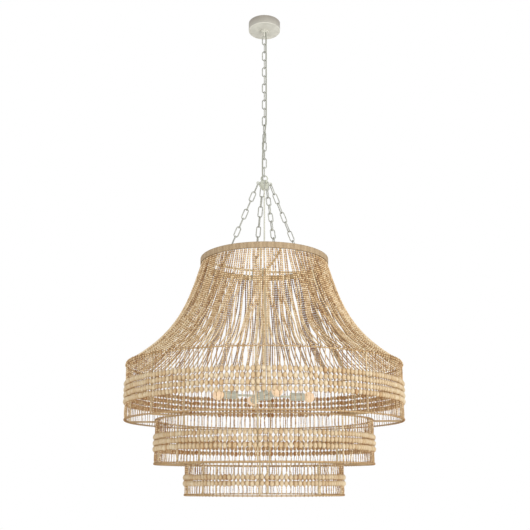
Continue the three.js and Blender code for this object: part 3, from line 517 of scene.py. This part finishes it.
# Hoop of flat bar with eight ribs, which start behind it, follow the skirt inside and end on the first tier
hoop = {"outer": 232.2, "thickness": 2.0, "top": -1001.0, "height": 18.0, "edge": 0.5, "sides": 160,
        "rib": 4.5, "ribHead": 6.0, "ribSunk": 0.6, "ribInward": 4.3, "ribShare": 0.93,
        "ribFoot": (480.9, -1398.95), "firstRib": -93.0}
postYaws = np.radians(hoop["firstRib"] + 45 * np.arange(8))
inner, bottom = hoop["outer"] - hoop["thickness"], hoop["top"] - hoop["height"]
bar = [[inner, bottom], [hoop["outer"], bottom], [hoop["outer"], hoop["top"]], [inner, hoop["top"]]]
bar = rounded(bar, hoop["edge"], closed=True)
addPiece("topHoop", turned(bar, hoop["sides"], closed=True), framePaint, "fixture",
         ["upper_frame"])
ribRadius, ribHeight = skirtPoint(np.linspace(0, hoop["ribShare"], 24), hoop["ribInward"] + hoop["rib"] / 2)
ribRadius = np.array([inner - hoop["rib"] / 2 + hoop["ribSunk"], *ribRadius, hoop["ribFoot"][0]])
ribHeight = np.array([hoop["top"] - hoop["ribHead"], *ribHeight, hoop["ribFoot"][1]])
rib = sweep(np.stack([ribRadius, 0 * ribRadius, ribHeight], -1), hoop["rib"] / 2, thinSides, yAxis)
addPiece("curvedRibs", join(*[moved(rib, yaw) for yaw in postYaws]), ribPaint, "fixture",
         ["upper_frame"])

# How a small bead's radius goes along its four rings, as a share: at its hole, rising, at its middle, falling
beadRings, beadSides = np.array([0.34, 0.9, 1.0, 0.9]), 6
# Painted light on the beads, as the tone that they lose: outside a painted highlight (a loss below 0), then
# painted shade at the side and towards the axis of a small and a large bead, and where two small beads meet
paintedBeadShading = {"outside": -0.08, "small": (0.1, 0.36), "large": (0.2, 0.46), "holeShade": 1.1}


# Tone that the corners round a bead's section lose: painted shade, browner at the sides and brownest where
# they face the axis, and a painted highlight where they face out
# Painted shade at the sides and facing the axis, painted highlight facing out
def paintedSectionShade(sides, sideAndAxisShade):
    inward = np.sin(2 * np.pi * np.arange(sides) / sides)
    return -np.interp(inward, [-0.9, 0.0, 0.9], [paintedBeadShading["outside"], *sideAndAxisShade])


# Small beads threaded close: a tube that swells and narrows once for each bead. Returns its surface and a
# tone for every point: one value a bead, with painted shade where two beads meet and round the section.
def beadStrands(paths, bead, tones):
    count, steps = paths.shape[:2]
    swell = beadRings[np.arange(steps) % len(beadRings)]
    surface = sweep(paths, bead / 2 * swell, beadSides, paths * [1, 1, 0])
    tone = np.repeat(tones, len(beadRings), axis=1)[:, :steps]
    # Painted shade at each bead's narrow ring by the hole, where it meets the next bead
    tone = tone - paintedBeadShading["holeShade"] * (swell == beadRings.min())
    return surface, (tone[:, :, None] + paintedSectionShade(beadSides, paintedBeadShading["small"])).reshape(count, -1)


# Where strands hang round the skirt: evenly, plus a smooth random wander, then eased apart so that no two
# lie closer than a bead. At the hoop they pair up. Returns their yaw at each height share.
def bunched(shares, radius, spec):
    random = np.random.default_rng(spec["seed"])
    count, knots = spec["strands"], spec["knots"]
    pulls = random.normal(size=(knots, count))
    pulls = (pulls + np.roll(pulls, 1, 1) + np.roll(pulls, 2, 1)) / 1.75  # about as large as a single pull
    reach = np.exp(-((shares[:, None] * (knots - 1) - np.arange(knots)) / spec["knotReach"]) ** 2)
    wander = reach / reach.sum(1, keepdims=True) @ pulls
    grown = np.sin(np.pi * np.clip(shares * spec["wanderShare"], 0, 1)) ** spec["wanderPower"]
    pairs = spec["pairing"] * (1 - shares) ** 3 * (2 * np.pi * radius / count - spec["bead"])
    place = np.arange(count) * 2 * np.pi * radius[:, None] / count + spec["wander"] * grown[:, None] * wander
    place = place + pairs[:, None] * (-1.0) ** np.arange(count)
    for _ in range(spec["easing"]):
        ahead = np.roll(place, -1, 1)
        ahead[:, -1] += 2 * np.pi * radius
        short = np.maximum(spec["bead"] * spec["apart"] - (ahead - place), 0) / 2
        place = place - short + np.roll(short, 1, 1)
    return place / radius[:, None]


# The strands' rings lie at even steps along the curve, so their shares of the height are looked up there
shares = np.linspace(0, 1, 61)
curveRadius, curveHeight = skirtPoint(shares, skirt["bead"] / 2)
yaws = bunched(shares, curveRadius, skirt) + postYaws[0] + np.pi / skirt["strands"]
run = np.concatenate([[0], np.cumsum(np.hypot(np.diff(curveRadius), np.diff(curveHeight)))])
total = np.interp(skirt["end"], shares, run)
beadCount = int(total / skirt["beadLength"])
ringShare = np.interp(np.linspace(0, total, len(beadRings) * beadCount + 1), run, shares)
at = ringShare * (len(shares) - 1)
below = np.minimum(at.astype(int), len(shares) - 2)
part = (at - below)[:, None]
ringYaw = ((1 - part) * yaws[below] + part * yaws[below + 1]).T
ringRadius, ringHeight = np.interp(ringShare, shares, curveRadius), np.interp(ringShare, shares, curveHeight)
strandPaths = polar(ringRadius, ringYaw, ringHeight)
random = np.random.default_rng(skirt["seed"] + 1)
strandTone = random.normal(skirt["tone"], skirt["beadSpread"], (skirt["strands"], beadCount + 1))
strandTone = strandTone + random.normal(0, skirt["strandSpread"], (skirt["strands"], 1))
strandTone = np.clip(strandTone + skirt["paler"] * np.linspace(-1, 1, beadCount + 1), 0, 1)
perPiece = skirt["strands"] // skirt["pieces"]
for n in range(skirt["pieces"]):
    chosen = slice(perPiece * n, perPiece * (n + 1))
    surface, tone = beadStrands(strandPaths[chosen], skirt["bead"], strandTone[chosen])
    addPiece(f"skirtStrands_{n + 1}", surface, smallWood, "fixture", ["skirt_beads"],
             tone, crease=0)
print("skirt made")

# Band wound round the hoop: its face swells once for each turn of the twine, and its tone drifts in patches
wound = {"outer": 237.7, "inner": 232.5, "top": -997.5, "bottom": -1018.8, "lip": 230.2, "lipFoot": -1000.7,
         "edges": [0.5, 1.4, 1.6, 0.6, 0.4, 0.4], "turns": 560, "stepsPerTurn": 4, "swell": 0.22,
         "tone": 0.55, "drift": 0.2, "driftTurns": 0.137, "patches": 31}
woundProfile = [[wound["inner"], wound["bottom"]], [wound["outer"], wound["bottom"]],
                [wound["outer"], wound["top"]], [wound["lip"], wound["top"]],
                [wound["lip"], wound["lipFoot"]], [wound["inner"], wound["lipFoot"]]]
points, faces = turned(rounded(woundProfile, wound["edges"], steps=4, closed=True),
                       wound["stepsPerTurn"] * wound["turns"], closed=True)
yaw = np.arctan2(points[:, 1], points[:, 0])
points = ribbed(points, wound["inner"], wound["outer"], wound["turns"], wound["swell"])
drift = np.sin(wound["turns"] * wound["driftTurns"] * yaw) * np.cos(wound["patches"] * yaw)
addPiece("woundBand", (points, faces), woundTwine, "fixture", ["skirt_beads"],
         wound["tone"] + wound["drift"] * drift, crease=0)

# Tiers, outermost first: two rings, eight posts, strands tied from ring to ring, and rows of olive beads
tiers = [
    {"radius": 487.6, "top": -1401.5, "height": 189.5, "strands": 192, "rows": 4, "rowDrop": 68.0},
    {"radius": 380.5, "top": -1591.0, "height": 146.5, "strands": 152, "rows": 3, "rowDrop": 58.0},
    {"radius": 273.8, "top": -1737.5, "height": 102.5, "strands": 112, "rows": 2, "rowDrop": 44.5},
]
tierFrame = {"rod": 9.0, "wire": 4.6, "post": 6.0, "postSunk": 0.8, "postDown": 1.4, "spoke": 6.0,
             "spokeGap": 0.3, "ringSteps": 192, "ringSides": 10}
# Strands of small beads over and under the rows: "small" holds their diameters, "room" is from a row's middle
# to the strand's end, and on the first tier they start above the ring and bulge over it
curtain = {"small": (4.0, 3.0), "smallLength": 6.4, "room": 9.0, "above": 8.0, "over": 4.2, "overReach": 6.0,
           "sway": 1.6, "shift": 0.5, "bulge": 0.8, "tone": 0.5, "beadSpread": 0.2, "strandSpread": 0.15,
           "tie": 1.12, "tieOut": 0.56, "tieTone": 0.15, "tieSteps": 8, "tieSides": 4, "seed": 5}
# Olive beads: a row's pitch, a bead's girth and its end as a share of that, and how far they are out of line
olive = {"rowPitch": 20.0, "girth": 15.5, "end": 0.3, "power": 0.9, "gap": 0.35, "sideGap": 0.1, "out": 0.6,
         "smaller": 0.06, "strandDrop": 0.5, "drop": 0.25, "lean": 0.5, "aside": 0.12, "tone": 0.66,
         "spread": 0.12, "endShade": 0.5, "sides": 8, "along": np.array([-1, -0.8, -0.42, 0, 0.42, 0.8, 1])}
random = np.random.default_rng(curtain["seed"])
wireRadius = tierFrame["wire"] / 2


# A ring of the tier's wire, level, at a radius and a height
def ringRod(radius, height):
    around = np.linspace(0, 2 * np.pi, tierFrame["ringSteps"], endpoint=False)
    return sweep(polar(radius, around, height), wireRadius, tierFrame["ringSides"], zAxis, closed=True)


# A straight round rod: a section carried along start + u (end - start)
def straightRod(start, end, diameter):
    return sweep(np.linspace(start, end, 3), diameter / 2, thinSides, yAxis)


# Thread loops round a ring, one for each strand: small closed circles that stand square to the ring
def ties(radius, height, yaws):
    angle = 2 * np.pi * np.arange(curtain["tieSteps"]) / curtain["tieSteps"]
    reach = wireRadius + curtain["tieOut"]
    loops = polar(radius + reach * np.cos(angle), yaws[:, None], height + reach * np.sin(angle))
    side = np.stack([-np.sin(yaws), np.cos(yaws), 0 * yaws], -1)[:, None]
    return sweep(loops, curtain["tie"], curtain["tieSides"], side, closed=True)


# One strand at each yaw from a start to an end height: it sways to a side and bulges by the sine of its share
# of the way, and over e^(-(distance / overReach)^2) pushes it out where it passes the ring. Returns the
# surface and its tone.
def hangStrands(radius, yaws, start, end, bead, ring, over):
    count = (len(yaws), 1)
    beads = int(round((start - end) / curtain["smallLength"]))
    share = np.linspace(0, 1, len(beadRings) * beads + 1)
    arch = np.sin(np.pi * share)
    sway = curtain["sway"] * random.normal(size=count) * arch + curtain["shift"] * random.normal(size=count)
    bulge = curtain["bulge"] * random.normal(size=count) * arch
    height = start + (end - start) * share
    push = over * np.exp(-((height - ring) / curtain["overReach"]) ** 2)
    paths = polar(radius + bulge + push, yaws[:, None] + sway / radius, height)
    tone = random.normal(curtain["tone"], curtain["beadSpread"], (len(yaws), beads + 1))
    tone = np.clip(tone + random.normal(0, curtain["strandSpread"], count), 0, 1)
    surface, tone = beadStrands(paths, bead, tone)
    return surface, tone.reshape(-1)


# Rows of olive beads: radius falls from the middle to the ends as end + (1 - end)(1 - u^2)^power, where u
# goes from -1 to 1 along the bead. Returns the surface and its tone.
def oliveRows(radius, yaws, rows):
    u, grid = olive["along"], (len(yaws), len(rows))
    shape = olive["end"] + (1 - olive["end"]) * (1 - u ** 2) ** olive["power"]
    girth = min(olive["girth"], 2 * np.pi * radius / len(yaws) - olive["sideGap"])
    size = 1 - olive["smaller"] * random.random(grid)
    drop = random.normal(0, olive["strandDrop"], (len(yaws), 1))
    middle = (rows + drop + random.normal(0, olive["drop"], grid)).reshape(-1, 1)
    lean = random.normal(0, olive["lean"], grid).reshape(-1, 1)
    yaw = (yaws[:, None] + random.normal(0, olive["aside"], grid) / radius).reshape(-1, 1)
    size = size.reshape(-1, 1)
    paths = polar(radius + olive["out"], yaw + lean * u / radius,
                  middle + (olive["rowPitch"] / 2 - olive["gap"]) * size * u)
    tone = random.normal(olive["tone"], olive["spread"], grid).reshape(-1, 1)
    # Painted shade at both ends of each olive bead, between the rows
    tone = tone - olive["endShade"] * (abs(u) > 0.9)
    surface = sweep(paths, girth / 2 * size * shape, olive["sides"], paths * [1, 1, 0])
    return surface, tone[:, :, None] + paintedSectionShade(olive["sides"], paintedBeadShading["large"])


for n, tier in enumerate(tiers):
    radius, top, bottom = tier["radius"], tier["top"], tier["top"] - tier["height"]
    beads, frameNode = [f"tier_{n + 1}_beads"], [f"tier_{n + 1}_frame"]
    tier["post"] = radius - tierFrame["rod"] / 2 - tierFrame["post"] / 2 + tierFrame["postSunk"]
    postTop = top - tierFrame["postDown"] if n else top
    post = straightRod([tier["post"], 0, bottom], [tier["post"], 0, postTop], tierFrame["post"])
    upper, upperNode = [ringRod(radius, top)], frameNode
    if n:
        spokeEnd = tiers[n - 1]["post"] - tierFrame["post"] / 2 - tierFrame["spokeGap"]
        spoke = straightRod([radius, 0, top], [spokeEnd, 0, top], tierFrame["spoke"])
        upper += [moved(spoke, yaw) for yaw in postYaws]
        upperNode = [f"tier_{n + 1}_spokes"]
    posts = join(*[moved(post, yaw) for yaw in postYaws])
    addPiece(f"tierPosts_{n + 1}", posts, ribPaint, "fixture", frameNode, crease=50)
    addPiece(f"tierLowerRing_{n + 1}", ringRod(radius, bottom), framePaint, "fixture",
             frameNode, crease=50)
    addPiece(f"tierUpperRing_{n + 1}", join(*upper), framePaint, "fixture", upperNode,
             crease=50)

    count = tier["strands"]
    yaws = postYaws[0] + (np.arange(count) + 0.5) * 2 * np.pi / count
    rows = top - tier["rowDrop"] - olive["rowPitch"] * np.arange(tier["rows"])
    over = 0.0 if n else curtain["over"]
    upperEnd = top - wireRadius if n else top + curtain["above"]
    parts = [hangStrands(radius, yaws, upperEnd, rows[0] + curtain["room"], curtain["small"][0], top, over),
             hangStrands(radius, yaws, rows[-1] - curtain["room"], bottom + wireRadius, curtain["small"][1],
                         top, over)]
    for height in (top, bottom):
        surface = ties(radius, height, yaws)
        parts.append((surface, np.full(len(surface[0]), curtain["tieTone"])))
    strands, tones = zip(*parts)
    addPiece(f"tierStrands_{n + 1}", join(*strands), smallWood, "fixture", beads,
             np.concatenate(tones), crease=0)
    surface, tone = oliveRows(radius, yaws, rows)
    addPiece(f"oliveBeads_{n + 1}", surface, largeWood, "fixture", beads, tone, crease=0)
print("tiers made")

# Stem: a tube with a collar, and the cord that hangs to it from the hub
stem = {"bore": 3.25, "tube": 6.0, "top": -1029.9, "collar": 10.0, "collarTop": -1047.8, "collarHeight": 5.0,
        "taper": 3.0, "foot": -1487.2, "edge": 0.8, "sides": 32}
collarFoot = stem["collarTop"] - stem["collarHeight"]
stemProfile = [[stem["bore"], stem["foot"]], [stem["tube"], stem["foot"]],
               [stem["tube"], collarFoot - stem["taper"]], [stem["collar"], collarFoot],
               [stem["collar"], stem["collarTop"]], [stem["tube"], stem["collarTop"]],
               [stem["tube"], stem["top"]], [stem["bore"], stem["top"]]]
stemTube = turned(rounded(stemProfile, stem["edge"], steps=4, closed=True), stem["sides"], closed=True)
addPiece("stem", stemTube, ribPaint, "fixture", ["stem"])
hanging = {"top": -714.2, "length": 773.0, "steps": 40}
line = np.linspace([0, 0, hanging["top"]], [0, 0, stem["foot"]], hanging["steps"])
lowerCord = addPiece("lowerCord", sweep(line, flex["diameter"] / 2, flex["sides"], xAxis), lowerSleeve,
                     "fixture", ["supply_cord_lower"])

# Lamp cluster: a turned body with a neck that takes the stem, and four arms
cluster = {"radius": 26.5, "height": 28.0, "neck": 10.0, "neckHeight": 8.0, "stemHole": 6.3, "round": 6.0,
           "level": -1501.5, "arm": 7.5, "armFrom": 15.0, "reach": 97.0}
level = cluster["level"]
top, low = level + cluster["height"] / 2, level - cluster["height"] / 2
neckTop = top + cluster["neckHeight"]
clusterProfile = [[nearAxis, low], [cluster["radius"], low], [cluster["radius"], top], [cluster["neck"], top],
                  [cluster["neck"], neckTop], [cluster["stemHole"], neckTop], [cluster["stemHole"], top],
                  [nearAxis, top]]
clusterEdges = [0.1, cluster["round"], cluster["round"], 1.2, 0.8, 0.4, 0.4, 0.1]
arm = np.linspace([cluster["armFrom"], 0, level], [cluster["reach"], 0, level], 4)
parts = [turned(rounded(clusterProfile, clusterEdges, steps=6), bodySides)]
parts += [moved(sweep(arm, cluster["arm"] / 2, rodSides, yAxis), yaw) for yaw in armYaws]
addPiece("lampCluster", join(*parts), lampPaint, "fixture", ["lamp_cluster"])

# Warm frosted glass of a lit bulb: an even glow with faint clouds
frost = {"glass": "#E3CDB2", "glow": "#FFD2A0", "faint": 0.2, "strong": 0.26, "cloud": 50 / 3,
         "roughness": 0.35}
glass, tree, place = newFinish("frostedWarmGlass")
mist = addNode(tree, "ShaderNodeTexNoise", {"Vector": place, "Scale": metre / frost["cloud"], "Detail": 1.0})
glow = addNode(tree, "ShaderNodeMapRange", {
    0: mist.outputs[0], 1: 0.3, 2: 0.7, 3: frost["faint"], 4: frost["strong"]})
shader = addNode(tree, "ShaderNodeBsdfPrincipled", {
    "Base Color": linear(frost["glass"]), "Roughness": frost["roughness"],
    "Emission Color": linear(frost["glow"]), "Emission Strength": glow.outputs[0]})
addNode(tree, "ShaderNodeOutputMaterial", {"Surface": shader.outputs[0]})

# Sockets and bulbs: profiles of [radius, distance from the stem], turned and laid along the lamp arms
lamp = {"back": 97.3, "mouth": 148.3, "outer": 14.0, "bore": 7.3, "sides": 32, "capFoot": 123.3, "cap": 7.0,
        "play": 0.3, "neck": 6.25, "globe": 19.5, "centre": 167.8, "groove": 138.0, "grooveEnd": 139.8,
        "grooveBevel": 0.4, "grooveDepth": 0.6}
socketProfile = [[nearAxis, lamp["back"]], [lamp["outer"], lamp["back"]], [lamp["outer"], lamp["groove"]],
                 [lamp["outer"] - lamp["grooveDepth"], lamp["groove"] + lamp["grooveBevel"]],
                 [lamp["outer"] - lamp["grooveDepth"], lamp["grooveEnd"] - lamp["grooveBevel"]],
                 [lamp["outer"], lamp["grooveEnd"]], [lamp["outer"], lamp["mouth"]],
                 [lamp["bore"], lamp["mouth"]], [lamp["bore"], lamp["capFoot"] - lamp["play"]],
                 [nearAxis, lamp["capFoot"] - lamp["play"]]]
socketEdges = [0.1, 3.0, 0.3, 0.3, 0.3, 0.3, 1.0, 0.6, 0.3, 0.1]
neckAngle = np.arcsin(lamp["neck"] / lamp["globe"])
fromTip = np.linspace(np.pi - neckAngle, 0.004, 20)  # the globe: radius sin a, distance centre + radius cos a
globe = np.stack([lamp["globe"] * np.sin(fromTip), lamp["centre"] + lamp["globe"] * np.cos(fromTip)], -1)
bulbProfile = [[nearAxis, lamp["capFoot"]], [lamp["cap"], lamp["capFoot"] + lamp["play"]],
               [lamp["cap"], lamp["mouth"] - lamp["play"]],
               [lamp["neck"], lamp["mouth"] + lamp["play"]], *globe]


# A shape turned about Z, laid along X at the arms' level and then turned to an arm
def alongArm(surface, yaw):
    points = surface[0][:, [2, 1, 0]] * [1, 1, -1]
    return turnZ(points + [0, 0, level], yaw), surface[1]


for n, yaw in enumerate(armYaws):
    socket = alongArm(turned(rounded(socketProfile, socketEdges, steps=5), lamp["sides"]), yaw)
    bulb = alongArm(turned(bulbProfile, lamp["sides"]), yaw)
    addPiece(f"lampSocket_{n + 1}", socket, lampPaint, "fixture", [f"lamp_socket_{n + 1}"])
    addPiece(f"bulb_glass_{n + 1}", bulb, glass, f"bulb_{n + 1}", [f"bulb_{n + 1}"], crease=50)
print("lamps made")

# Small hardware inside the canopy and on the stem keeps its own solids, in zinc plate: dull bright metal
# with cloudy crystals a few millimetres wide
zincPlate = {"crystal": 10 / 3, "dark": "#AEB0AF", "bright": "#C4C6C5", "smooth": 0.28, "rough": 0.42}
zinc, tree, place = newFinish("zincPlatedSteel")
crystal = addNode(tree, "ShaderNodeTexVoronoi", {"Vector": place, "Scale": metre / zincPlate["crystal"]})
distance = crystal.outputs["Distance"]
shade = addNode(tree, "ShaderNodeMix", {
    0: distance, 6: linear(zincPlate["dark"]), 7: linear(zincPlate["bright"])}, data_type="RGBA")
dull = addNode(tree, "ShaderNodeMapRange", {
    0: distance, 1: 0.0, 2: 0.6, 3: zincPlate["smooth"], 4: zincPlate["rough"]})
shader = addNode(tree, "ShaderNodeBsdfPrincipled", {
    "Base Color": shade.outputs[2], "Metallic": 1.0, "Roughness": dull.outputs[0]})
addNode(tree, "ShaderNodeOutputMaterial", {"Surface": shader.outputs[0]})
for name in ("ceiling_bar", "ceiling_screw_1", "ceiling_screw_2", "nipple", "nipple_locknut", "stem_nut"):
    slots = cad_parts[name].data.materials
    for k in range(len(slots)):
        slots[k] = zinc

# Pale plaster floor, far below the lamp, with wide faint clouds
ground = {"radius": 4500, "height": -2600, "thickness": 10, "sides": 96, "cloud": 1000 / 3,
          "dark": "#F1EFEB", "pale": "#F5F4F1"}
floorPlaster, tree, place = newFinish("palePlasterFloor")
clouds = addNode(tree, "ShaderNodeTexNoise", {"Vector": place, "Scale": metre / ground["cloud"]})
shade = addNode(tree, "ShaderNodeMix", {
    0: clouds.outputs[0], 6: linear(ground["dark"]), 7: linear(ground["pale"])}, data_type="RGBA")
shader = addNode(tree, "ShaderNodeBsdfPrincipled", {"Base Color": shade.outputs[2], "Roughness": 0.8})
addNode(tree, "ShaderNodeOutputMaterial", {"Surface": shader.outputs[0]})
floorTop = ground["height"] + ground["thickness"]
disc = [[nearAxis, ground["height"]], [ground["radius"], ground["height"]], [ground["radius"], floorTop],
        [nearAxis, floorTop]]
floor = addPiece("floor", turned(disc, ground["sides"]), floorPlaster, None)

# White behind everything. What lights the object is a little weaker from above than from below.
ambient = {"below": 1.0, "above": 0.74, "turnsOver": 0.4}
world = bpy.data.worlds.new("studio")
scene.world = world
world.use_nodes = True
tree = world.node_tree
tree.nodes.clear()
rays = addNode(tree, "ShaderNodeLightPath", {})
seen = addNode(tree, "ShaderNodeMath", {0: rays.outputs["Is Camera Ray"], 1: rays.outputs["Is Glossy Ray"]},
               operation="MAXIMUM")
seen = addNode(tree, "ShaderNodeMath", {0: seen.outputs[0], 1: rays.outputs["Is Transmission Ray"]},
               operation="MAXIMUM")
sky = addNode(tree, "ShaderNodeTexCoord", {}).outputs["Generated"]
toward = addNode(tree, "ShaderNodeSeparateXYZ", {0: sky})
byHeight = addNode(tree, "ShaderNodeMapRange", {
    0: toward.outputs["Z"], 1: -ambient["turnsOver"], 2: ambient["turnsOver"],
    3: ambient["below"], 4: ambient["above"]})
strength = addNode(tree, "ShaderNodeMix", {0: seen.outputs[0], 2: byHeight.outputs[0], 3: 1.0})
white = addNode(tree, "ShaderNodeBackground", {
    "Color": (1.0, 1.0, 1.0, 1.0), "Strength": strength.outputs[0]})
addNode(tree, "ShaderNodeOutputWorld", {"Surface": white.outputs[0]})

# Soft square lamps, all aimed at the shade. Their sizes and places are in millimetres, their power in watts.
aimAt = np.array([0, 0, -1300])
studio = {"key": {"place": (3400, -2700, -800), "size": 2400, "power": 88, "tint": "#FFFFFF"},
          "fill": {"place": (-3400, -2700, -800), "size": 3000, "power": 42, "tint": "#FFFFFF"},
          "low": {"place": (300, -2600, -2500), "size": 2000, "power": 30, "tint": "#FFFAF2"}}
for name, lamp in studio.items():
    light = bpy.data.lights.new(name, "AREA")
    light.size, light.energy, light.color = lamp["size"] / metre, lamp["power"], linear(lamp["tint"])[:3]
    holder = bpy.data.objects.new(name, light)
    holder.location = np.array(lamp["place"]) / metre
    aim = aimAt - np.array(lamp["place"])
    pitch = np.arctan2(np.hypot(aim[0], aim[1]), -aim[2])
    holder.rotation_euler = (pitch, 0, np.arctan2(aim[1], aim[0]) - quarterTurn)
    scene.collection.objects.link(holder)
print("lights set")

scene.view_settings.view_transform = "Standard"
